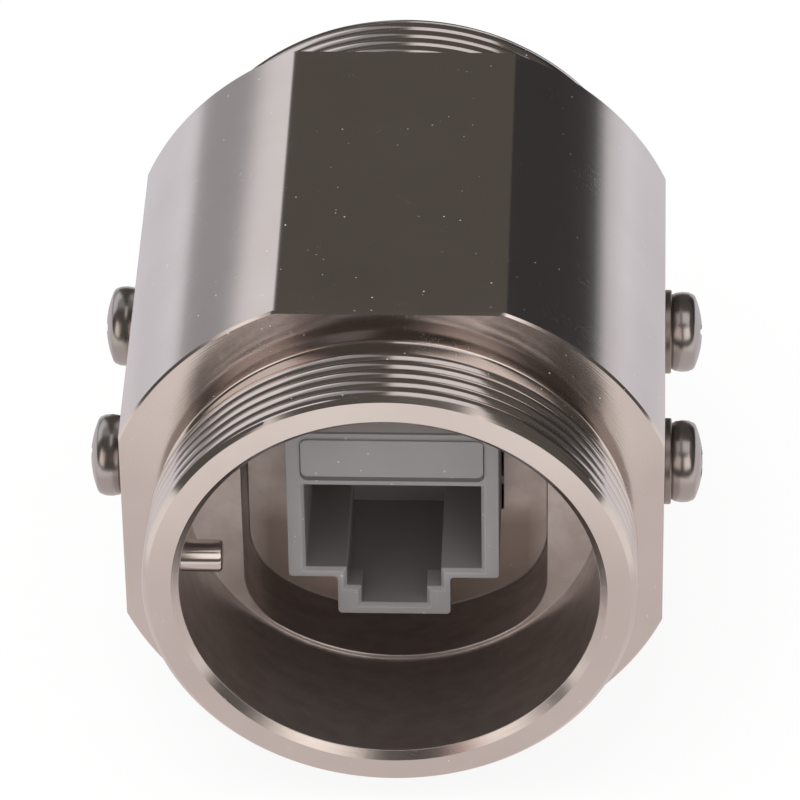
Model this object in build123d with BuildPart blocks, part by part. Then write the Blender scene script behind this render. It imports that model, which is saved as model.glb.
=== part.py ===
"""An RJ45 inline coupler: a plated brass barrel with a threaded spigot at each end,
and a moulded coupler with a jack facing each way, gripped in the web at its middle.

Frame: X to the right, Y along the barrel from the front jack to the rear one, Z up.
The origin is the middle of the barrel, on its axis. Millimetres throughout.
"""

from build123d import *
import os

os.makedirs("parts", exist_ok=True)

# Barrel: a round bar with four flats, and a threaded spigot turned at each end
barrel_radius = 19.5
across_flats = 36.0
barrel_half = 15.0
rim_chamfer = 0.3
spigot_length = 6.8
thread_radius = 16.3
thread_chamfer_radial = 0.4
thread_chamfer_axial = 0.3
neck_radius = 15.7
neck_width = 1.7
end_y = barrel_half + spigot_length

# Bore and pocket: each end is bored, then milled to a double-D down to the web
bore_radius = 13.85
bore_depth = 10.0
mouth_chamfer = 0.5
pocket_radius = 13.55
pocket_half_width = 10.2
pocket_corner = 5.5
pocket_depth = 15.1
web_half = end_y - pocket_depth

# Coupler: two like halves, back to back, with both latches downwards
coupler_half = 14.4
coupler_width = 14.1
coupler_top = 7.55
coupler_bottom = -4.55
latch_box_width = 7.56
latch_box_bottom = -7.7
shell_corner = 0.3
window_gap = 0.2
rib_width = 0.7
side_rib_heights = (-2.2, 4.6)
top_rib_x = 4.5
bottom_rib_x = 5.4
latch_rib_x = 2.0

# Jack opening in each half
jack_width = 11.76
jack_top = 3.1
jack_floor = -3.88
jack_depth = 11.3
latch_width = 6.32
latch_step_floor = -5.45
latch_slot_width = 4.4
latch_floor = -6.9
latch_ledge = 2.0
opening_chamfer = 0.25
chamber_top = 6.5
lintel_thickness = 1.5
pad_width = 12.15
pad_low = 3.8
pad_high = 7.15
pad_rise = 0.2
pad_corner = 0.5

# Board, carriers and contacts inside the halves
board_thickness = 1.6
board_width = 11.2
board_low = -3.6
board_high = 6.2
contact_count = 8
contact_pitch = 1.02
contact_width = 0.45
contact_thickness = 0.35
contact_root_z = 4.3
contact_nose_y = -12.3
contact_nose_z = 3.2
contact_tip = (-4.6, 1.1)
contact_bend = 0.3
slot_width = 0.6
carrier_front = coupler_half - lintel_thickness
carrier_wall = coupler_half - jack_depth

# Screws, lock washers and key pins
screw_y = 7.25
screw_radius = 1.5
screw_reach = 6.0
hole_clearance = 0.02
hole_depth = 6.8
washer_radius = 2.9
washer_bore = 1.6
washer_thickness = 0.5
washer_split = 0.45
head_bearing_radius = 2.56
head_radius = 2.77
head_side_low = 0.35
head_side_high = 1.15
head_shoulder = (2.45, 1.63)
head_height = 2.13
crown_flat_radius = 1.5
recess_length = 2.8
recess_width = 0.62
recess_depth = 1.1
pin_radius = 1.075
pin_depth = 3.9
pin_tip = 11.15
pin_root = 15.9
pin_tip_chamfer = 0.2


def across(y):
    """The plane across the barrel at this place along it, seen from the front."""
    return Plane(origin=(0, y, 0), x_dir=(1, 0, 0), z_dir=(0, -1, 0))


def side_flat(side, y=0):
    """The plane of the right (+1) or left (-1) flat, facing outwards, at this place along the barrel."""
    return Plane(origin=(side * across_flats / 2, y, 0), x_dir=(0, 1, 0), z_dir=(side, 0, 0))


def key_side(end):
    """The plane square to a key pin, at its root, facing outwards. Each end's pin is on its left."""
    root = (end * pin_root, end * (end_y - pin_depth), 0)
    return Plane(origin=root, x_dir=(0, 1, 0), z_dir=(end, 0, 0))


def save(solid, label):
    """Label a finished piece and write it to its own file."""
    solid.label = label
    export_step(solid, f"parts/{label}.step")


def block(low, high, left, right):
    """A rectangle of a sketch, by its two heights and two sides."""
    with Locations(((left + right) / 2, (low + high) / 2)):
        Rectangle(right - left, high - low)


def coupler_outline(grow):
    """The stepped outline of the coupler, a main box over a latch box, grown by this much all round."""
    box_side = coupler_width / 2 + grow
    latch_side = latch_box_width / 2 + grow
    block(coupler_bottom - grow, coupler_top + grow, -box_side, box_side)
    block(latch_box_bottom - grow, coupler_bottom, -latch_side, latch_side)


# The barrel is turned from the profile of its front half, which is mirrored to the rear
with BuildPart() as barrel:
    with BuildSketch(Plane.XY):
        with BuildLine():
            Polyline(
                (0, 0),
                (barrel_radius, 0),
                (barrel_radius, -barrel_half),
                (neck_radius, -barrel_half),
                (neck_radius, -barrel_half - neck_width),
                (thread_radius, -barrel_half - neck_width),
                (thread_radius, -end_y + thread_chamfer_axial),
                (thread_radius - thread_chamfer_radial, -end_y),
                (bore_radius + mouth_chamfer, -end_y),
                (bore_radius, -end_y + mouth_chamfer),
                (bore_radius, -end_y + bore_depth),
                (0, -end_y + bore_depth),
                close=True,
            )
        make_face()
    revolve(axis=Axis.Y)
    mirror(about=Plane.XZ)
    # Four flats, and a small chamfer round both shoulders
    with BuildSketch(across(-end_y)):
        Rectangle(across_flats, across_flats)
    extrude(amount=-2 * end_y, mode=Mode.INTERSECT)
    ends = barrel.faces().filter_by(Axis.Y)
    shoulders = [face for face in ends if round(abs(face.center().Y), 3) == barrel_half]
    chamfer([edge for face in shoulders for edge in face.outer_wire().edges()], length=rim_chamfer)
    # The double-D pockets, down to the web
    for end in (-1, 1):
        with BuildSketch(across(end * (end_y - bore_depth))) as pocket:
            Circle(pocket_radius)
            Rectangle(2 * pocket_half_width, 2 * pocket_radius, mode=Mode.INTERSECT)
            fillet(pocket.vertices(), radius=pocket_corner)
        extrude(amount=end * (pocket_depth - bore_depth), mode=Mode.SUBTRACT)
    # The window for the coupler, through the web
    with BuildSketch(across(-web_half)):
        coupler_outline(window_gap)
    extrude(amount=-2 * web_half, mode=Mode.SUBTRACT)
    # Tapped holes in the side flats, and the key pins' holes through the spigots
    for side in (-1, 1):
        with Locations(side_flat(side)):
            with GridLocations(2 * screw_y, 0, 2, 1):
                Hole(screw_radius + hole_clearance, depth=hole_depth)
        with Locations(key_side(side).offset(thread_radius - pin_root)):
            Hole(pin_radius, depth=thread_radius - bore_radius + mouth_chamfer)
save(barrel.part, "barrel_body")

# Key pins, pressed in from outside and finished level with the thread's root
for end, place in ((-1, "front"), (1, "rear")):
    with BuildPart() as key_pin:
        with BuildSketch(key_side(end)):
            Circle(pin_radius)
        extrude(amount=pin_tip - pin_root)
        chamfer(key_pin.edges().sort_by(Axis.X)[-1 if end < 0 else 0], length=pin_tip_chamfer)
    save(key_pin.part, f"key_pin_{place}")

# The front half of the coupler's shell; the rear half is the same moulding, turned round
with BuildPart() as housing:
    with BuildSketch(across(-coupler_half)):
        coupler_outline(0)
    extrude(amount=-coupler_half)
    fillet(housing.edges().filter_by(Axis.Y), radius=shell_corner)
    # The jack and the contact chamber above it, which is closed in front by the lintel
    with BuildSketch(across(-coupler_half)):
        block(jack_floor, jack_top, -jack_width / 2, jack_width / 2)
    extrude(amount=-coupler_half, mode=Mode.SUBTRACT)
    with BuildSketch(across(-carrier_front)):
        block(jack_top, chamber_top, -jack_width / 2, jack_width / 2)
    extrude(amount=-carrier_front, mode=Mode.SUBTRACT)
    # The latch's slot is stepped at the mouth, and full width behind the two ledges
    with BuildSketch(across(-coupler_half)):
        block(latch_step_floor, jack_floor, -latch_width / 2, latch_width / 2)
        block(latch_floor, jack_floor, -latch_slot_width / 2, latch_slot_width / 2)
    extrude(amount=-latch_ledge, mode=Mode.SUBTRACT)
    with BuildSketch(across(-coupler_half + latch_ledge)):
        block(latch_floor, jack_floor, -latch_width / 2, latch_width / 2)
    extrude(amount=latch_ledge - jack_depth, mode=Mode.SUBTRACT)
    mouth = housing.faces().sort_by(Axis.Y)[0]
    chamfer(mouth.inner_wires()[0].edges(), length=opening_chamfer)
    # The bare label pad over the opening
    with BuildSketch(across(-coupler_half)) as pad:
        block(pad_low, pad_high, -pad_width / 2, pad_width / 2)
        fillet(pad.vertices(), radius=pad_corner)
    extrude(amount=pad_rise)
    # Ribs that are crushed as the coupler is pressed into the window
    with BuildSketch(across(-web_half)):
        for height in side_rib_heights:
            low, high = height - rib_width / 2, height + rib_width / 2
            block(low, high, -coupler_width / 2 - window_gap, -coupler_width / 2)
            block(low, high, coupler_width / 2, coupler_width / 2 + window_gap)
        for side in (-1, 1):
            for x, low in (
                (side * top_rib_x, coupler_top),
                (side * bottom_rib_x, coupler_bottom - window_gap),
                (side * latch_rib_x, latch_box_bottom - window_gap),
            ):
                block(low, low + window_gap, x - rib_width / 2, x + rib_width / 2)
    extrude(amount=-web_half)
save(housing.part, "housing_front")
save(housing.part.rotate(Axis.Z, 180), "housing_rear")

# The contact carrier closes the back of the jack and fills the chamber over it
contact_places = [contact_pitch * (i - (contact_count - 1) / 2) for i in range(contact_count)]
with BuildPart() as carrier:
    with BuildSketch(across(-carrier_front)):
        block(jack_top, chamber_top, -jack_width / 2, jack_width / 2)
    extrude(amount=board_thickness / 2 - carrier_front)
    with BuildSketch(across(-carrier_wall)):
        block(jack_floor, chamber_top, -jack_width / 2, jack_width / 2)
    extrude(amount=board_thickness / 2 - carrier_wall)
    # Each contact lies in a slot under the roof, and its tail goes through the wall
    with BuildSketch(across(-carrier_front)):
        for x in contact_places:
            slot_roof = contact_root_z + contact_thickness / 2
            block(jack_top, slot_roof, x - slot_width / 2, x + slot_width / 2)
    extrude(amount=carrier_wall - carrier_front, mode=Mode.SUBTRACT)
    with BuildSketch(across(-carrier_wall)):
        for x in contact_places:
            with Locations((x, contact_root_z)):
                Rectangle(contact_width, contact_thickness)
    extrude(amount=-carrier_wall, mode=Mode.SUBTRACT)
save(carrier.part, "contact_carrier_front")
save(carrier.part.rotate(Axis.Z, 180), "contact_carrier_rear")

# Contact wires: back from the board under the roof, round the nose, and down into the jack.
# Each small bend is one short flat, as there are sixteen wires.
for number, x in enumerate(contact_places, start=1):
    with BuildPart() as contact:
        with BuildSketch(Plane(origin=(x, 0, 0), x_dir=(0, 1, 0), z_dir=(1, 0, 0))):
            with BuildLine():
                wire_path = Polyline(
                    (-board_thickness / 2, contact_root_z),
                    (contact_nose_y + contact_bend, contact_root_z),
                    (contact_nose_y, contact_root_z - contact_bend),
                    (contact_nose_y, contact_nose_z + contact_bend),
                    (contact_nose_y + contact_bend, contact_nose_z),
                    contact_tip,
                )
            trace(wire_path, line_width=contact_thickness)
        extrude(amount=contact_width / 2, both=True)
    save(contact.part, f"contact_front_{number}")
    save(contact.part.rotate(Axis.Z, 180), f"contact_rear_{number}")

# The board that joins the two jacks, clamped between the carriers
with BuildPart() as board:
    with BuildSketch(across(-board_thickness / 2)):
        block(board_low, board_high, -board_width / 2, board_width / 2)
    extrude(amount=-board_thickness)
save(board.part, "circuit_board")

# Pan-head screw, standing on its bearing face, with a low crown and a cross recess
with BuildPart() as screw:
    with BuildSketch(Plane.XZ):
        with BuildLine():
            Polyline(
                (0, head_height),
                (0, -screw_reach),
                (screw_radius, -screw_reach),
                (screw_radius, 0),
                (head_bearing_radius, 0),
                (head_radius, head_side_low),
                (head_radius, head_side_high),
                head_shoulder,
                (crown_flat_radius, head_height),
                close=True,
            )
        make_face()
    revolve(axis=Axis.Z)
    with BuildSketch(Plane.XY.offset(head_height)):
        Rectangle(recess_length, recess_width)
        Rectangle(recess_width, recess_length)
    extrude(amount=-recess_depth, mode=Mode.SUBTRACT)

# Spring lock washer, pressed flat, split aslant at one place
with BuildPart() as washer:
    with BuildSketch():
        Circle(washer_radius)
        Circle(washer_bore, mode=Mode.SUBTRACT)
    extrude(amount=washer_thickness)
    with BuildSketch(Plane.XZ.offset(washer_radius)):
        with BuildLine():
            Polyline(
                (-washer_split, 0),
                (0, 0),
                (washer_split, washer_thickness),
                (0, washer_thickness),
                close=True,
            )
        make_face()
    extrude(amount=-washer_radius, mode=Mode.SUBTRACT)

# One screw and washer in each tapped hole
for side, side_name in ((-1, "left"), (1, "right")):
    for end, place in ((-1, "front"), (1, "rear")):
        seat = side_flat(side, end * screw_y)
        save(washer.part.moved(seat.location), f"lock_washer_{place}_{side_name}")
        save(screw.part.moved(seat.offset(washer_thickness).location), f"screw_{place}_{side_name}")
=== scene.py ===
"""The look of an RJ45 inline coupler: plated brass barrel, moulded jack, screws and key pins.

Everything is in metres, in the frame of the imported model: X to the right, Y along the barrel
from the front jack to the rear one, Z up, and the origin in the middle of the barrel.
"""

import bmesh
import bpy
import numpy as np
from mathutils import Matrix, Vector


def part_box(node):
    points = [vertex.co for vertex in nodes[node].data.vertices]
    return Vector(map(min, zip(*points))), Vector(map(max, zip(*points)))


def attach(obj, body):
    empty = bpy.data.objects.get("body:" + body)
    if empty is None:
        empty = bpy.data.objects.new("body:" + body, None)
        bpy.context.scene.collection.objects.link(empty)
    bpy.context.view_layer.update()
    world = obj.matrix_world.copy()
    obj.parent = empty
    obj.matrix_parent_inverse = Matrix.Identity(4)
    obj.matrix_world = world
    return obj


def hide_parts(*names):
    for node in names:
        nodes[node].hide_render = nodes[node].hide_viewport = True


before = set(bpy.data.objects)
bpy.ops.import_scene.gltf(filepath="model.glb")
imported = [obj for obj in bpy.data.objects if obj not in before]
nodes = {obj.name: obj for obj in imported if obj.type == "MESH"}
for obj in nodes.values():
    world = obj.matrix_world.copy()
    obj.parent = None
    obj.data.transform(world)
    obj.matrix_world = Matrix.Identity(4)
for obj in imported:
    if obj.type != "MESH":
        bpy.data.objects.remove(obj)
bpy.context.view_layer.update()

# The barrel. One bar of brass, turned with a threaded spigot at each end, milled to four
# flats, bored and pocketed from both ends down to a web with a window for the coupler,
# and bright nickel plated all over.
mm = 0.001
turn = 2 * np.pi
bar_radius = 19.5 * mm
flat_distance = 18 * mm
shoulder_y = 15 * mm
end_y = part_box("barrel_body")[1].y
rim_chamfer = 0.15 * mm
neck_radius = 15.7 * mm
neck_end = 16.7 * mm
foot_fillet = 0.22 * mm
thread_radius = 16.3 * mm
thread_pitch = 0.95 * mm
thread_from = 16.9 * mm
thread_phase = 1.12
crest_half_width = 0.02 * mm
crest_rounding = 0.62 * mm
flank_tilt = np.radians(40)
lead_in = 0.45 * mm
face_radius = 15.9 * mm
bore_radius = 13.85 * mm
bore_end = 11.8 * mm
mouth_chamfer = 0.5 * mm
pocket_radius = 13.55 * mm
pocket_half_width = 10.2 * mm
pocket_corner = 5.5 * mm
web_y = 6.7 * mm
web_fillet = 0.2 * mm
ledge_fillet = 0.1 * mm
edge_break = 0.06 * mm
column_step = turn / 400
window_corners = np.array([(7.17, 7.67), (7.17, -4.67), (3.9, -4.67), (3.9, -7.82)]) * mm


def straight_outline(angles, corners):
    """Distance from the axis to a closed outline of straight edges, along each angle: the ray at
    that angle meets the edge between the two corners whose own angles stand on either side."""
    corner_angles = np.arctan2(corners[:, 1], corners[:, 0]) % turn
    order = np.argsort(corner_angles)
    starts = corners[order]
    ends = np.roll(starts, -1, axis=0)
    edge = (np.searchsorted(corner_angles[order], angles % turn + 1e-9) - 1) % len(corners)
    start, along = starts[edge], ends[edge] - starts[edge]
    ray = np.stack([np.cos(angles), np.sin(angles)], axis=1)
    cross = start[:, 0] * along[:, 1] - start[:, 1] * along[:, 0]
    return cross / (ray[:, 0] * along[:, 1] - ray[:, 1] * along[:, 0])


def double_d_outline(angles):
    """Distance from the axis to the milled pocket: an arc above and below, a straight side left
    and right, and between them the circle of the end mill, where the ray leaves that circle."""
    across, up = np.abs(np.cos(angles)), np.abs(np.sin(angles))
    centre_x = pocket_half_width - pocket_corner
    centre_z = np.sqrt((pocket_radius - pocket_corner) ** 2 - centre_x**2)
    along = across * centre_x + up * centre_z
    corner = along + np.sqrt(np.maximum(pocket_corner**2 - centre_x**2 - centre_z**2 + along**2, 0))
    on_side = up * pocket_half_width < across * centre_z
    on_arc = up * centre_x > across * centre_z
    side = pocket_half_width / np.maximum(across, 1e-9)
    return np.where(on_side, side, np.where(on_arc, pocket_radius, corner))


def flatted_outline(angles, inset=0):
    """Distance from the axis to the round bar or to its nearest flat, whichever is less, both
    drawn in by this much."""
    nearest = np.maximum(np.abs(np.cos(angles)), np.abs(np.sin(angles)))
    return np.minimum(bar_radius - inset, (flat_distance - inset) / nearest)


def thread_profile():
    """One pitch of the thread, from the middle of a crest to the middle of the next: stations along
    the axis and the depth at each. The crest's edge is an arc, and the flank runs on from its end."""
    tilts = np.linspace(0, flank_tilt, 4)
    stations = crest_half_width + crest_rounding * np.sin(tilts)
    depths = crest_rounding * (1 - np.cos(tilts))
    root_depth = depths[-1] + (thread_pitch / 2 - stations[-1]) * np.tan(flank_tilt)
    return (
        np.concatenate([stations, [thread_pitch / 2], thread_pitch - stations[::-1]]),
        np.concatenate([depths, [root_depth], depths[::-1]]),
    )


def thread_surface(y, angles):
    """Distance from the axis to the thread: the profile is repeated once a pitch, counted along the
    axis less the part of a turn already made, so the groove is a helix, and a cone leads it in."""
    along = ((y - thread_from) / thread_pitch - angles / turn + thread_phase) % 1 * thread_pitch
    cone = face_radius + (end_y - y) * (thread_radius - face_radius) / lead_in
    return np.minimum(thread_radius - np.interp(along, *thread_profile()), cone)


def thread_rows(angles):
    """The y of each corner of the thread's profile, followed round the turn by turn and held at
    either end of the thread."""
    turns = int(np.ceil((end_y - thread_from) / thread_pitch)) + 1
    starts = np.arange(-2, turns)[:, None] - thread_phase
    along = (starts * thread_pitch + thread_profile()[0]).reshape(-1, 1) + thread_from
    return np.clip(along + thread_pitch * angles / turn, thread_from, end_y)


def welded_mesh(name, points, faces, sharp_degrees, caps=()):
    """A closed mesh from a grid of points, with any caps that close its ends: points that coincide
    become one, faces that shrink to a line go, all faces are turned outwards, and edges past the
    given angle stay crisp."""
    mesh = bpy.data.meshes.new(name)
    mesh.from_pydata(points.reshape(-1, 3).tolist(), [], faces.tolist() + list(caps))
    work = bmesh.new()
    work.from_mesh(mesh)
    bmesh.ops.remove_doubles(work, verts=work.verts, dist=1e-7)
    bmesh.ops.recalc_face_normals(work, faces=work.faces)
    work.to_mesh(mesh)
    work.free()
    mesh.shade_smooth()
    mesh.set_sharp_from_angle(angle=np.radians(sharp_degrees))
    piece = bpy.data.objects.new(name, mesh)
    bpy.context.scene.collection.objects.link(piece)
    return piece


def grid_faces(rows, columns):
    """The four corners of each cell of a grid of points that is stored row after row."""
    first = np.arange(rows - 1)[:, None] * columns + np.arange(columns - 1)
    return np.stack([first, first + 1, first + columns + 1, first + columns], axis=-1).reshape(-1, 4)


def quarter_round(steps):
    """A fillet of radius 1 in even steps: how far it has come along its first side, 1 - cos, and how
    far it still has to go along its second, 1 - sin."""
    tilts = np.linspace(0, turn / 4, steps)
    return zip(1 - np.cos(tilts), 1 - np.sin(tilts))


def barrel_half():
    """A grid of points. Each row has its place along the axis and, for every angle, its distance from
    it; the rows run from the middle of the outside round the spigot's face and back down the bore
    to the middle of the window."""
    corner_angle = np.arccos(flat_distance / bar_radius)
    quarter = np.arange(4) * turn / 4
    flat_corners = np.concatenate([quarter - corner_angle, quarter + corner_angle])
    window = np.concatenate([window_corners, window_corners * (-1, 1)])
    exact = np.concatenate([flat_corners, np.arctan2(window[:, 1], window[:, 0])]) % turn
    even = np.arange(0, turn, column_step)
    gap = np.abs((even[:, None] - exact + turn / 2) % turn - turn / 2).min(axis=1)
    angles = np.sort(np.concatenate([even[gap > column_step / 3], exact]))
    angles = np.append(angles, angles[0] + turn)

    bar = flatted_outline(angles)
    rim = flatted_outline(angles, rim_chamfer)
    pocket = double_d_outline(angles)
    window_edge = straight_outline(angles, window)
    one = np.ones_like(angles)
    rows = [(0, bar), (shoulder_y - rim_chamfer, bar), (shoulder_y, rim)]
    for come, left in quarter_round(5):
        rows.append((shoulder_y + foot_fillet * come, (neck_radius + foot_fillet * left) * one))
    rows.append((neck_end, neck_radius * one))
    rows += [(y, thread_surface(y, angles)) for y in thread_rows(angles)]
    rows += [
        (end_y, face_radius * one),
        (end_y, (bore_radius + mouth_chamfer) * one),
        (end_y - mouth_chamfer, bore_radius * one),
    ]
    for come, left in quarter_round(4):
        rows.append((bore_end + ledge_fillet * left, (bore_radius - ledge_fillet * come) * one))
    rows += [(bore_end, pocket + edge_break), (bore_end - edge_break, pocket)]
    for come, left in quarter_round(4):
        rows.append((web_y + web_fillet * left, pocket - web_fillet * come))
    rows += [(web_y, window_edge + edge_break), (web_y - edge_break, window_edge), (0, window_edge)]
    along = np.array([y * one for y, _ in rows])
    out = np.array([r * one for _, r in rows])
    return np.stack([out * np.cos(angles), -along, out * np.sin(angles)], axis=-1)


half = barrel_half()
rows, columns = half.shape[:2]
half_faces = grid_faces(rows, columns)
front = half.reshape(-1, 3)
rear = front * (-1, -1, 1)
barrel = welded_mesh(
    "barrel",
    np.concatenate([front, rear]),
    np.concatenate([half_faces, half_faces + len(front)]),
    sharp_degrees=25,
)


class Signal:
    """One output of a material's node. Arithmetic on it adds Math nodes to the same material."""

    def __init__(self, finish, socket):
        self.finish = finish
        self.socket = socket

    def _math(self, operation, first, second):
        return self.finish.add("ShaderNodeMath", {"operation": operation}, {0: first, 1: second})

    def __add__(self, other):
        return self._math("ADD", self, other)

    def __radd__(self, other):
        return self._math("ADD", other, self)

    def __sub__(self, other):
        return self._math("SUBTRACT", self, other)

    def __rsub__(self, other):
        return self._math("SUBTRACT", other, self)

    def __mul__(self, other):
        return self._math("MULTIPLY", self, other)

    def __rmul__(self, other):
        return self._math("MULTIPLY", other, self)

    def __gt__(self, other):
        return self._math("GREATER_THAN", self, other)

    def __lt__(self, other):
        return self._math("LESS_THAN", self, other)

    def __pow__(self, other):
        return self._math("POWER", self, other)

    def __abs__(self):
        return self._math("ABSOLUTE", self, 0)

    def at_least(self, other):
        """The greater of the two."""
        return self._math("MAXIMUM", self, other)


class Finish:
    """A material built node by node round one Principled shader."""

    def __init__(self, name, **constants):
        self.material = bpy.data.materials.new(name)
        self.material.use_nodes = True
        self.tree = self.material.node_tree
        self.shader = self.tree.nodes["Principled BSDF"]
        for socket, value in constants.items():
            self.shader.inputs[socket.replace("_", " ")].default_value = value

    def add(self, kind, settings, inputs, output=0):
        """A node of this kind: its settings first, then a value or a link for each input."""
        node = self.tree.nodes.new(kind)
        for name, value in settings.items():
            setattr(node, name, value)
        for name, value in inputs.items():
            if isinstance(value, Signal):
                self.tree.links.new(value.socket, node.inputs[name])
            else:
                node.inputs[name].default_value = value
        return Signal(self, node.outputs[output])

    def feed(self, socket, signal):
        """Links a signal to one input of the shader."""
        self.tree.links.new(signal.socket, self.shader.inputs[socket])

    def place(self, stretch=(1, 1, 1), turned=(0, 0, 0)):
        """Object coordinates in millimetres, turned by these angles and then squeezed along each
        axis by its factor, so that a pattern on them is finer that way."""
        objects = self.add("ShaderNodeTexCoord", {}, {}, "Object")
        scale = tuple(mm / factor for factor in stretch)
        inputs = {"Vector": objects, "Rotation": turned, "Scale": scale}
        return self.add("ShaderNodeMapping", {"vector_type": "TEXTURE"}, inputs)

    def along(self, where, axis):
        """One coordinate of a place."""
        return self.add("ShaderNodeSeparateXYZ", {}, {"Vector": where}, axis)

    def noise(self, where, size, detail=3.0, roughness=0.5):
        """Soft random cloud from 0 to 1 whose lumps are about this many millimetres across."""
        inputs = {"Vector": where, "Scale": 1 / size, "Detail": detail, "Roughness": roughness}
        return self.add("ShaderNodeTexNoise", {}, inputs, "Fac")

    def rings(self, distance, size):
        """Random steps from 0 to 1 that depend on one distance alone, as the tool's feed leaves."""
        inputs = {"W": distance, "Scale": 1 / size, "Detail": 2.0}
        return self.add("ShaderNodeTexNoise", {"noise_dimensions": "1D"}, inputs, "Fac")

    def flecks(self, where, spacing, largest):
        """1 inside small round flecks, one for each cell of this spacing, of random sizes that are
        mostly far under the largest, and 0 between them."""
        cell = {"Vector": where, "Scale": 1 / spacing}
        distance = self.add("ShaderNodeTexVoronoi", {}, cell, "Distance")
        chance = self.add("ShaderNodeTexVoronoi", {}, cell, "Color")
        chance = self.add("ShaderNodeSeparateColor", {}, {"Color": chance}, "Red")
        return distance < chance**4 * (largest / spacing)

    def rising(self, value, start, end, curve="LINEAR"):
        """0 before start and 1 after end, with a rise between them."""
        inputs = {"Value": value, "From Min": start, "From Max": end}
        return self.add("ShaderNodeMapRange", {"interpolation_type": curve}, inputs)

    def blend(self, amount, first, second):
        """One colour mixed into another by a signal."""
        first, second = [(*one, 1) if isinstance(one, tuple) else one for one in (first, second)]
        return self.add("ShaderNodeMix", {"data_type": "RGBA"}, {0: amount, 6: first, 7: second}, 2)

    def relief(self, height, depth):
        """Surface relief from a height signal, this many millimetres deep."""
        inputs = {"Height": height, "Distance": depth * mm}
        self.feed("Normal", self.add("ShaderNodeBump", {}, inputs, "Normal"))


nickel_tint = (0.65, 0.605, 0.59)
worn_tint = (0.57, 0.52, 0.5)
web_painted_shade = (0.37, 0.315, 0.29)
dust_and_light_tint = (0.8, 0.79, 0.77)
# On the webs, painted shade sets in this far under the axis and ends this far to its sides, and painted
# light sets in this far above the axis.
web_shade_starts = 4.2 * mm
web_shade_full = 6.4 * mm
web_shade_sides = (8.8 * mm, 10 * mm)
light_top_starts = 6.6 * mm
light_top_full = 8.6 * mm


def tarnish(finish):
    """A wide cloud of warmer metal, up to 0.6."""
    return 0.6 * finish.rising(finish.noise(finish.place(), 9.0, detail=4.0), 0.35, 0.7)


def tool_marks(finish):
    """The faint marks of machining: a cloud six times finer along the barrel than across it."""
    return finish.noise(finish.place((1, 6, 1)), 1.2, detail=4.0)


def nickel_plate(name, roughness, tint=nickel_tint, shade=worn_tint):
    """Bright nickel over machined metal: cloudy tint, and faint tool marks."""
    finish = Finish(name, Metallic=1.0)
    finish.feed("Base Color", finish.blend(tarnish(finish), tint, shade))
    fine = tool_marks(finish)
    finish.feed("Roughness", roughness + 0.08 * fine)
    finish.relief(fine, 0.002)
    return finish.material


def barrel_plate():
    """The barrel's nickel. The turned faces have fine rings, the bore and the pockets are satin
    and smeared, the webs have painted shade low down and painted light at the top, and there are
    flecks of dust and a few hair scratches."""
    finish = Finish("nickel_plate")
    where = finish.place()
    across, up = abs(finish.along(where, "X")), finish.along(where, "Z")
    from_middle = abs(finish.along(where, "Y"))
    out = (across**2 + up**2) ** 0.5
    inside = out < (bore_radius + edge_break / 2) / mm
    outside = 1 - inside
    turned_face = (from_middle > (shoulder_y - rim_chamfer) / mm) * outside
    mouth = (out < (bore_radius + mouth_chamfer) / mm) * outside
    web_face = inside * (from_middle < (web_y + edge_break) / mm)

    smear = finish.noise(finish.place((1, 2, 1)), 2.2, detail=6.0, roughness=0.6)
    worn = tarnish(finish) * outside + finish.rising(smear, 0.4, 0.62) * inside
    plate = finish.blend(worn, nickel_tint, worn_tint)
    # Painted shade on the faces of the webs, low down and away from the sides, with a cloudy edge.
    low = finish.rising(0.6 * smear - up, web_shade_starts / mm, web_shade_full / mm)
    middle = 1 - finish.rising(across, web_shade_sides[0] / mm, web_shade_sides[1] / mm)
    plate = finish.blend(low * middle * web_face, plate, web_painted_shade)

    fine = tool_marks(finish)
    rings = finish.rings(out + 1.4 * from_middle, 0.09)
    hair = finish.noise(finish.place((0.5, 9, 0.5), (0.1, 0, 0.15)), 0.5, detail=5.0, roughness=0.7)
    satin = inside * (0.2 + 0.12 * smear) + mouth * 0.07 - 0.02 * turned_face
    roughness = 0.13 + 0.05 * fine + satin

    thick_dust = finish.rising(finish.noise(where, 5.0), 0.45, 0.6)
    # Painted light on the webs' faces towards the top, mixed in with the dust flecks.
    painted_light_top = 0.6 * finish.rising(up, light_top_starts / mm, light_top_full / mm) * web_face
    flecks = finish.flecks(where, 0.55, 0.07) * (0.25 + 0.6 * thick_dust)
    dust = flecks.at_least(painted_light_top * smear)
    scratch_line = finish.noise(finish.place((2, 0.2, 2), (0, 0, 0.9)), 0.6, detail=0.0)
    scratch = (abs(scratch_line - 0.5) < 0.006) * (finish.noise(where, 3.5) > 0.64)
    finish.feed("Base Color", finish.blend(dust * 0.85 + scratch * 0.3, plate, dust_and_light_tint))
    finish.feed("Metallic", 1 - 0.8 * dust)
    finish.feed("Roughness", roughness + 0.3 * dust + 0.15 * scratch)
    ring_depth = 0.25 + 0.1 * turned_face + 0.5 * inside + 0.6 * mouth
    finish.relief(rings * ring_depth + hair * inside + fine * 0.3, 0.004)
    return finish.material


barrel.data.materials.append(barrel_plate())
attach(barrel, "root")
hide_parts("barrel_body")

# The key pins. A short turned pin, pressed through each spigot's wall so that a plug goes in
# one way up only; its plated tip stands out into the bore.
pin_radius = 1.075 * mm
pin_edge = 0.2 * mm


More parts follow.
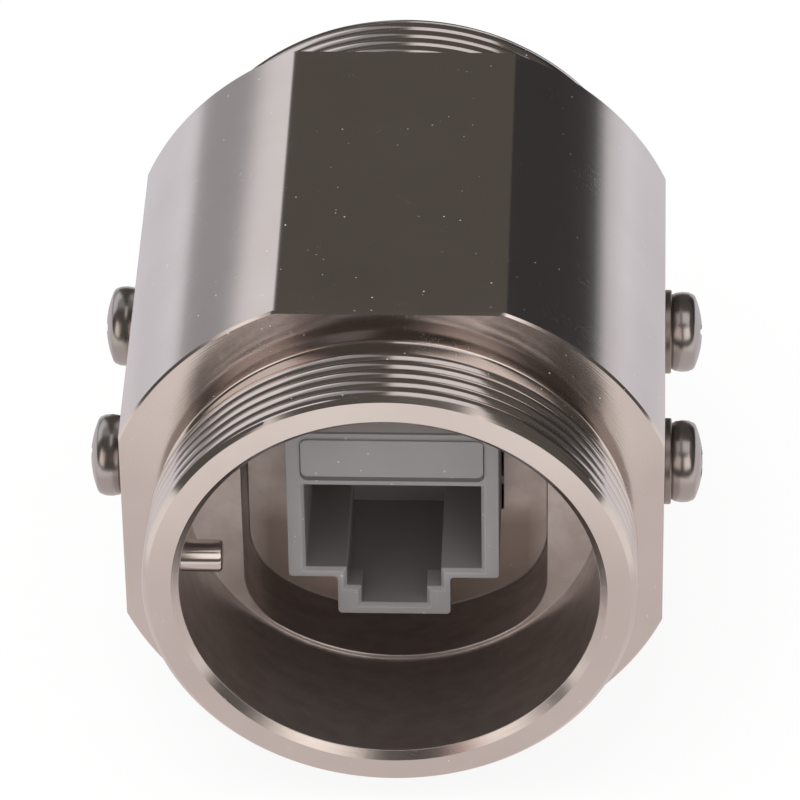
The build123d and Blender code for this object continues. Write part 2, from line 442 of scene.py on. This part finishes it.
def key_pin(node):
    """A pin along X between the ends of its solid: circles of radius r round the axis at each x,
    with r given by a profile that starts and ends on the axis."""
    low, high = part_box(node)
    root, tip = (low.x, high.x) if abs(low.x) > abs(high.x) else (high.x, low.x)
    middle_y = (low.y + high.y) / 2
    edge = pin_edge * np.sign(tip - root)
    x = np.array([root, root, tip - edge, tip - 0.3 * edge, tip, tip])
    r = np.array([0, pin_radius, pin_radius, pin_radius - 0.3 * pin_edge, pin_radius - pin_edge, 0])
    angles = np.linspace(0, turn, 65)
    points = np.stack([
        x[:, None] + 0 * angles,
        middle_y + r[:, None] * np.cos(angles),
        r[:, None] * np.sin(angles),
    ], axis=-1)
    return welded_mesh(node + "_turned", points, grid_faces(len(x), len(angles)), 30)


pin_plate = nickel_plate("pin_plate", 0.12)
for node in ("key_pin_front", "key_pin_rear"):
    pin = key_pin(node)
    pin.data.materials.append(pin_plate)
    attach(pin, "root")
    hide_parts(node)

# The coupler's shell. Two like halves moulded in grey plastic, back to back, each with a jack,
# a stepped slot for the plug's latch and a raised pad for a label, with small moulded radii.
mould_radius = 0.12 * mm
shell_grey = (0.285, 0.273, 0.279)
shell_shade = (0.25, 0.239, 0.243)
edge_grey = (0.34, 0.33, 0.333)
recess_painted_shade = (0.19, 0.168, 0.158)
scuff_and_light_grey = (0.6, 0.58, 0.57)
latch_painted_shade = (0.1, 0.095, 0.09)
pad_painted_shadow = (0.055, 0.047, 0.045)
pad_half_width = 6.075 * mm
pad_low = 3.8 * mm
pad_high = 7.15 * mm
pad_corner = 0.5 * mm
pad_shade_rise = 0.3 * mm
pad_shade_fall = 0.12 * mm
latch_starts = 4.3 * mm
latch_full = 5.3 * mm
shell_top = pad_high + 0.3 * mm
shell_face_y = -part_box("housing_front")[0].y - 0.45 * mm


def satin_grain(finish, where, roughness):
    """The very fine grain of the mould's walls, in the plastic's roughness and its relief."""
    grain = finish.noise(where, 0.12, detail=2.0)
    finish.feed("Roughness", roughness + 0.1 * grain)
    finish.relief(grain, 0.004)


def moulded_plastic(name, pale, dark, roughness):
    """Moulded plastic: nearly even colour, a faint cloud in it and a very fine satin grain."""
    finish = Finish(name)
    where = finish.place()
    finish.feed("Base Color", finish.blend(finish.noise(where, 3.0), pale, dark))
    satin_grain(finish, where, roughness)
    return finish.material


def shell_plastic(name, pale, dark):
    """The shell's plastic: painted shade inside, scuffed with light flecks on its face, painted light
    on top, painted shade low round the latch, and a painted shadow line round the pad. The line is
    what lies inside the pad's outline moved down a little, but outside that outline drawn in and moved up."""
    finish = Finish(name)
    where = finish.place()
    across, up = abs(finish.along(where, "X")), finish.along(where, "Z")

    def past_pad(rise):
        """How far a place is outside the pad's rounded outline, when that is moved up by this much."""
        middle = ((pad_low + pad_high) / 2 + rise) / mm
        past_side = across - (pad_half_width - pad_corner) / mm
        past_end = abs(up - middle) - ((pad_high - pad_low) / 2 - pad_corner) / mm
        return (past_side.at_least(0) ** 2 + past_end.at_least(0) ** 2) ** 0.5 - pad_corner / mm

    on_face = abs(finish.along(where, "Y")) > shell_face_y / mm
    on_top = (up > shell_top / mm) * (1 - on_face)
    # The painted shadow line round the pad.
    pad_shadow_line = (past_pad(-pad_shade_fall) < 0.03) * (past_pad(pad_shade_rise) > -0.05)
    latch_shade = finish.rising(up * -1, latch_starts / mm, latch_full / mm)
    tone = finish.blend(finish.noise(where, 3.0), pale, dark)
    # Painted shade low down, round the latch.
    tone = finish.blend(latch_shade * 0.22, tone, latch_painted_shade)
    # Painted shade on all that is off the face: the jack's inside and the shell's top and sides.
    tone = finish.blend((1 - on_face) * 0.5, tone, recess_painted_shade)
    # Painted light on the shell's top; the same pale grey also gives the real scuff flecks below.
    tone = finish.blend(on_top * 0.75, tone, scuff_and_light_grey)
    tone = finish.blend(finish.flecks(where, 0.5, 0.09) * on_face * 0.6, tone, scuff_and_light_grey)
    finish.feed("Base Color", finish.blend(pad_shadow_line * 0.85, tone, pad_painted_shadow))
    satin_grain(finish, where, 0.42)
    return finish.material


def moulded_shell(node, turned_round):
    """A copy of the front half's mesh with its flat faces joined up and every edge rounded by the
    mould's radius; the rear half is the same moulding turned round. The rounded edges take the
    second of its materials."""
    mesh = nodes["housing_front"].data.copy()
    mesh.materials.clear()
    work = bmesh.new()
    work.from_mesh(mesh)
    bmesh.ops.remove_doubles(work, verts=work.verts, dist=1e-7)
    bmesh.ops.dissolve_limit(work, angle_limit=np.radians(1), verts=work.verts, edges=work.edges)
    if turned_round:
        bmesh.ops.scale(work, vec=(-1, -1, 1), verts=work.verts)
    work.to_mesh(mesh)
    work.free()
    piece = bpy.data.objects.new(node + "_moulded", mesh)
    bpy.context.scene.collection.objects.link(piece)
    mesh.shade_smooth()
    bevel = piece.modifiers.new("mould_radius", "BEVEL")
    bevel.width = mould_radius
    bevel.segments = 2
    bevel.limit_method = "ANGLE"
    bevel.angle_limit = np.radians(30)
    bevel.harden_normals = True
    bevel.material = 1
    return piece


shell_face = shell_plastic("shell_plastic", shell_grey, shell_shade)
shell_edge = shell_plastic("shell_edge", edge_grey, shell_shade)
for node in ("housing_front", "housing_rear"):
    shell = moulded_shell(node, turned_round=node == "housing_rear")
    shell.data.materials.append(shell_face)
    shell.data.materials.append(shell_edge)
    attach(shell, "root")
    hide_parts(node)

# The contact carriers, the board and the contacts inside the coupler. The carriers are darker
# mouldings, the board is green laminate, and the contacts are gold plated spring wire.
carrier_grey = (0.16, 0.155, 0.15)
carrier_shade = (0.13, 0.126, 0.122)
resist_green = (0.02, 0.12, 0.05)
resist_pale = (0.03, 0.15, 0.07)
carrier_plastic = moulded_plastic("carrier_moulding", carrier_grey, carrier_shade, 0.5)
board_green = moulded_plastic("board_green", resist_green, resist_pale, 0.3)
gold_tint = (0.85, 0.6, 0.25, 1)
gold = Finish("gold_contact", Metallic=1.0, Base_Color=gold_tint)
gold.feed("Roughness", 0.2 + 0.15 * gold.noise(gold.place(), 0.6))
for node, piece in nodes.items():
    if node.startswith(("contact_front", "contact_rear")):
        material = gold.material
    elif node.startswith("contact_carrier"):
        material = carrier_plastic
    elif node == "circuit_board":
        material = board_green
    else:
        continue
    piece.data.materials.clear()
    piece.data.materials.append(material)

# The screws and lock washers. Plated pan-head screws with a cross recess, one in each tapped hole
# of the side flats. Under each head is one turn of square spring wire, pressed flat and cut aslant.
head_rings = 40
head_columns = 144
shank_radius = 1.5 * mm
shank_reach = 6 * mm
head_side = np.array([(2.56, 0), (2.7, 0.25), (2.77, 0.7), (2.74, 1.15), (2.6, 1.5)]) * mm
crown_radius = 2.45 * mm
crown_edge_height = 1.63 * mm
crown_height = 2.13 * mm
recess_half_width = 0.31 * mm
recess_reach = 1.25 * mm
recess_deep = 1.1 * mm
recess_wall = 0.08 * mm
cross_turns = {"front_left": 0.5, "front_right": 0.3, "rear_left": 1.1, "rear_right": 0.75}
screw_tints = (0.46, 0.43, 0.42), (0.36, 0.33, 0.32)
washer_inner = 1.6 * mm
washer_outer = 2.9 * mm
washer_thick = 0.5 * mm
washer_edge = 0.08 * mm
washer_split = np.radians(9)
washer_lean = np.radians(4)
washer_tints = (0.34, 0.3, 0.285), (0.26, 0.225, 0.212)


def screw_seat(node):
    """Which side flat a screw or washer is on, as -1 or 1, and the y of its hole's middle."""
    low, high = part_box(node)
    return np.sign(low.x + high.x), (low.y + high.y) / 2


def pan_head(node, cross_turn):
    """A screw along X. Shank and side are a turned profile; the crown is a polar grid whose height
    is a shallow dome less a cross, turned by this angle: two crossed slots with steep walls,
    deepest in the middle."""
    side, middle_y = screw_seat(node)
    seat = side * (flat_distance + washer_thick)
    angles = np.linspace(0, turn, head_columns + 1)
    shank = [(0, -shank_reach), (shank_radius, -shank_reach), (shank_radius, 0)]
    profile = np.vstack([shank, head_side])
    ring = np.linspace(1, 0, head_rings)[:, None] * crown_radius
    rise = crown_height - crown_edge_height
    dome_radius = (crown_radius**2 + rise**2) / 2 / rise
    dome = crown_height - dome_radius + np.sqrt(dome_radius**2 - ring**2)
    u, v = np.abs(ring * np.cos(angles - cross_turn)), np.abs(ring * np.sin(angles - cross_turn))
    inside = np.minimum(np.maximum(recess_half_width - np.minimum(u, v), 0) / recess_wall, 1)
    reach = np.clip((recess_reach - np.maximum(u, v)) / (0.5 * recess_reach), 0, 1)
    r = np.vstack([profile[:, :1] + 0 * angles, ring + 0 * angles])
    h = np.vstack([profile[:, 1:] + 0 * angles, dome - recess_deep * inside * reach])
    points = np.stack([
        seat + side * h,
        middle_y + r * np.cos(angles),
        r * np.sin(angles),
    ], axis=-1)
    return welded_mesh(node + "_turned", points, grid_faces(len(r), len(angles)), 35)


def lock_washer(node):
    """A ring along X that stops short of a full turn: a rounded rectangle carried round the screw,
    whose cut ends lean over by a small angle, one each way."""
    side, middle_y = screw_seat(node)
    angles = np.linspace(washer_split, turn - washer_split, 121)[:, None]
    inner, outer, thick, edge = washer_inner, washer_outer, washer_thick, washer_edge
    r = np.array([inner, inner + edge, outer - edge, outer, outer, outer - edge, inner + edge, inner, inner])
    h = np.array([edge, 0, 0, edge, thick - edge, thick, thick, thick - edge, edge])
    lean = np.interp(angles, [washer_split, turn - washer_split], [-washer_lean, washer_lean])
    round_screw = angles + lean * (h / thick) + turn / 8
    points = np.stack([
        side * (flat_distance + h) + 0 * angles,
        middle_y + r * np.cos(round_screw),
        r * np.sin(round_screw),
    ], axis=-1)
    first_end = np.arange(len(r) - 1)
    last_end = first_end[::-1] + (len(angles) - 1) * len(r)
    faces = grid_faces(len(angles), len(r))
    return welded_mesh(node + "_sprung", points, faces, 30, [first_end.tolist(), last_end.tolist()])


screw_plate = nickel_plate("screw_plate", 0.2, *screw_tints)
washer_plate = nickel_plate("washer_plate", 0.32, *washer_tints)
for corner, cross_turn in cross_turns.items():
    screw = pan_head(f"screw_{corner}", cross_turn)
    screw.data.materials.append(screw_plate)
    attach(screw, "root")
    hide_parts(f"screw_{corner}")
    washer = lock_washer(f"lock_washer_{corner}")
    washer.data.materials.append(washer_plate)
    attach(washer, "root")
    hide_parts(f"lock_washer_{corner}")

# The table. A plain pale sheet under the part, nearly white to the camera, with a faint shadow.
# In the part's reflections it glows with painted tones instead of its lit colour: greyer near by
# as a painted shadow, warm white further off in front, where it soon ends, and cool white behind,
# where it fades away slowly.
floor_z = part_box("barrel_body")[0].z
floor_reach = 3.0
shadow_reach = (0.052, 0.064)
front_end = (-0.14, -0.105)
back_rise = (0.06, 0.2)
back_fade = (0.25, 1.2)
front_meets_back = (-0.02, 0.05)
shadow_tone = (0.8, 0.71, 0.68)
table_warm = (1.05, 0.98, 0.92)
table_near = (0.73, 0.71, 0.75)
table_cool = (0.9, 0.885, 0.93)
table_dim = (0.5, 0.49, 0.51)
room_dark = (0.112, 0.101, 0.089)
clean_share = 0.9
floor_mesh = bpy.data.meshes.new("table")
quarters = ((-1, -1), (1, -1), (1, 1), (-1, 1))
floor_corners = [(x * floor_reach, y * floor_reach, floor_z) for x, y in quarters]
floor_mesh.from_pydata(floor_corners, [], [(0, 1, 2, 3)])
floor = bpy.data.objects.new("table", floor_mesh)
bpy.context.scene.collection.objects.link(floor)
table = Finish("table_white", Base_Color=(0.9, 0.89, 0.88, 1), Roughness=1.0)
where = table.add("ShaderNodeTexCoord", {}, {}, "Object")
reach = table.add("ShaderNodeVectorMath", {"operation": "LENGTH"}, {0: where}, "Value")
depth = table.along(where, "Y")
# Painted shadow near the part, in what the metal sees of the table.
front_tone = table.blend(table.rising(reach, *shadow_reach), shadow_tone, table_warm)
front_tone = table.blend(table.rising(depth, *front_end), room_dark, front_tone)
back_tone = table.blend(table.rising(reach, *back_rise), table_near, table_cool)
back_tone = table.blend(table.rising(reach, *back_fade), back_tone, table_dim)
seen_tone = table.blend(table.rising(depth, *front_meets_back), front_tone, back_tone)
is_camera = table.add("ShaderNodeLightPath", {}, {}, "Is Camera Ray")
is_glossy = table.add("ShaderNodeLightPath", {}, {}, "Is Glossy Ray")
is_glass = table.add("ShaderNodeLightPath", {}, {}, "Is Transmission Ray")
white = table.add("ShaderNodeEmission", {}, {"Color": (1, 1, 1, 1), "Strength": 1.0})
mirrored = table.add("ShaderNodeEmission", {}, {"Color": seen_tone, "Strength": 1.0})
shaded = Signal(table, table.shader.outputs[0])
to_camera = table.add("ShaderNodeMixShader", {}, {0: is_camera * clean_share, 1: shaded, 2: white})
to_metal = table.add("ShaderNodeMixShader", {}, {0: is_glossy + is_glass, 1: to_camera, 2: mirrored})
table.tree.links.new(to_metal.socket, table.tree.nodes["Material Output"].inputs["Surface"])
floor_mesh.materials.append(table.material)

# The studio. White light all round for plain surfaces, with soft lamps above and to each side in
# front, and a dim tent that is seen in reflections only. It has soft windows: one behind on the
# left, one on each side of the camera, one above.
tent_radius = 0.45
wall_grey = (0.4, 0.39, 0.405)
world = bpy.data.worlds.new("studio")
bpy.context.scene.world = world
world.use_nodes = True
sky = world.node_tree.nodes["Background"]
sky.inputs["Color"].default_value = (1, 1, 1, 1)
sky.inputs["Strength"].default_value = 0.75


def tent_mesh():
    """A sphere round the origin, open below 45 degrees under level: points at even steps of azimuth
    and of elevation."""
    azimuth, elevation = np.meshgrid(np.linspace(0, turn, 97), np.linspace(-turn / 8, turn / 4, 49))
    points = tent_radius * np.stack([
        np.cos(elevation) * np.sin(azimuth), np.cos(elevation) * np.cos(azimuth), np.sin(elevation)
    ], axis=-1)
    return welded_mesh("tent", points, grid_faces(49, 97), 180)


tent = tent_mesh()
cloth = Finish("tent_cloth")
where = cloth.add("ShaderNodeTexCoord", {}, {}, "Object")
rightward, backward, upward = (cloth.along(where, axis) for axis in "XYZ")
azimuth = cloth.add("ShaderNodeMath", {"operation": "ARCTAN2"}, {0: rightward, 1: backward})
azimuth = azimuth * (360 / turn)
elevation = cloth.add("ShaderNodeMath", {"operation": "ARCSINE"}, {0: upward * (1 / tent_radius)})
elevation = elevation * (360 / turn)


def window(across, up, left, right, low, high, soft):
    """1 inside a rectangle of the two given measures and 0 outside, with soft edges."""
    inside = cloth.rising(across, left - soft, left + soft, "SMOOTHSTEP")
    inside = inside * cloth.rising(across, right + soft, right - soft, "SMOOTHSTEP")
    inside = inside * cloth.rising(up, low - soft, low + soft, "SMOOTHSTEP")
    return inside * cloth.rising(up, high + soft, high - soft, "SMOOTHSTEP")


# Each patch of the tent: the two measures across and up, its left, right, low and high edges, how
# soft they are, and its colour. Angles are in degrees, counted to the right from straight behind
# and up from level; the one above is measured in metres to the right and to the front.
patches = {
    "wall behind on the left": (azimuth, elevation, -85, -20, -20, 90, 4, wall_grey),
    "window behind on the left": (azimuth, elevation, -85, -22, 15, 48, 3, (0.95, 0.93, 0.93)),
    "dark behind on the right": (azimuth, elevation, 20, 85, -20, 32, 3, (0.05, 0.047, 0.049)),
    "low strip behind on the right": (azimuth, elevation, 15, 85, -20, 2.5, 2, (0.8, 0.78, 0.8)),
    "window right of the camera": (azimuth, elevation, 132, 171, 13, 47, 4, (1.45, 1.32, 1.22)),
    "window left of the camera": (azimuth, elevation, -153, -121, 2, 38, 4, (1.35, 1.23, 1.14)),
    "rosy corner of that window": (azimuth, elevation, -152, -141, 24, 38, 2, (0.9, 0.6, 0.54)),
    "window above": (rightward, backward * -1, -0.003, 0.25, -0.05, 0.21, 0.008, (0.95, 0.9, 0.88)),
}
tent_colour = room_dark
for *box, colour in patches.values():
    tent_colour = cloth.blend(window(*box), tent_colour, colour)
glow = cloth.add("ShaderNodeEmission", {}, {"Color": tent_colour, "Strength": 1.0})
cloth.tree.links.new(glow.socket, cloth.tree.nodes["Material Output"].inputs["Surface"])
tent.data.materials.append(cloth.material)
tent.visible_camera = False
tent.visible_diffuse = False
tent.visible_shadow = False


def soft_lamp(name, azimuth, elevation, away, size, energy):
    """A square lamp in this direction from the part and this far away, turned to face it."""
    lamp_data = bpy.data.lights.new(name, "AREA")
    lamp_data.size = size
    lamp_data.energy = energy
    lamp = bpy.data.objects.new(name, lamp_data)
    bpy.context.scene.collection.objects.link(lamp)
    azimuth, elevation = np.radians(azimuth), np.radians(elevation)
    lamp.location = away * np.array([
        np.sin(azimuth) * np.cos(elevation), np.cos(azimuth) * np.cos(elevation), np.sin(elevation)
    ])
    lamp.rotation_euler = (np.pi / 2 - elevation, 0, np.pi - azimuth)
    lamp.visible_glossy = False


soft_lamp("lamp_above", -146, 73, 0.6, 0.42, 2.0)
soft_lamp("lamp_right", 152, 12, 0.5, 0.3, 0.3)
soft_lamp("lamp_left", -140, 12, 0.5, 0.3, 0.3)

# The camera, where the photograph was taken from: in front and above, with a long lens, and
# leaning over a little.
camera_place = (0.015301, -0.338145, 0.259642)
camera_yaw = np.radians(-2.598)
camera_pitch = np.radians(37.558)
camera_roll = np.radians(-0.962)
camera_data = bpy.data.cameras.new("camera")
camera_data.lens = 280.755
camera_data.sensor_width = 36
camera_data.clip_start = 0.01
camera = bpy.data.objects.new("camera", camera_data)
bpy.context.scene.collection.objects.link(camera)
forward = np.array([
    np.sin(camera_yaw) * np.cos(camera_pitch),
    np.cos(camera_yaw) * np.cos(camera_pitch),
    -np.sin(camera_pitch),
])
level = np.array([np.cos(camera_yaw), -np.sin(camera_yaw), 0])
upright = np.cross(level, forward)
right = np.cos(camera_roll) * level + np.sin(camera_roll) * upright
up = -np.sin(camera_roll) * level + np.cos(camera_roll) * upright
pose = np.eye(4)
pose[:3, 0], pose[:3, 1], pose[:3, 2], pose[:3, 3] = right, up, -forward, camera_place
camera.matrix_world = pose.T.tolist()
bpy.context.scene.camera = camera
bpy.context.scene.view_settings.view_transform = "Standard"
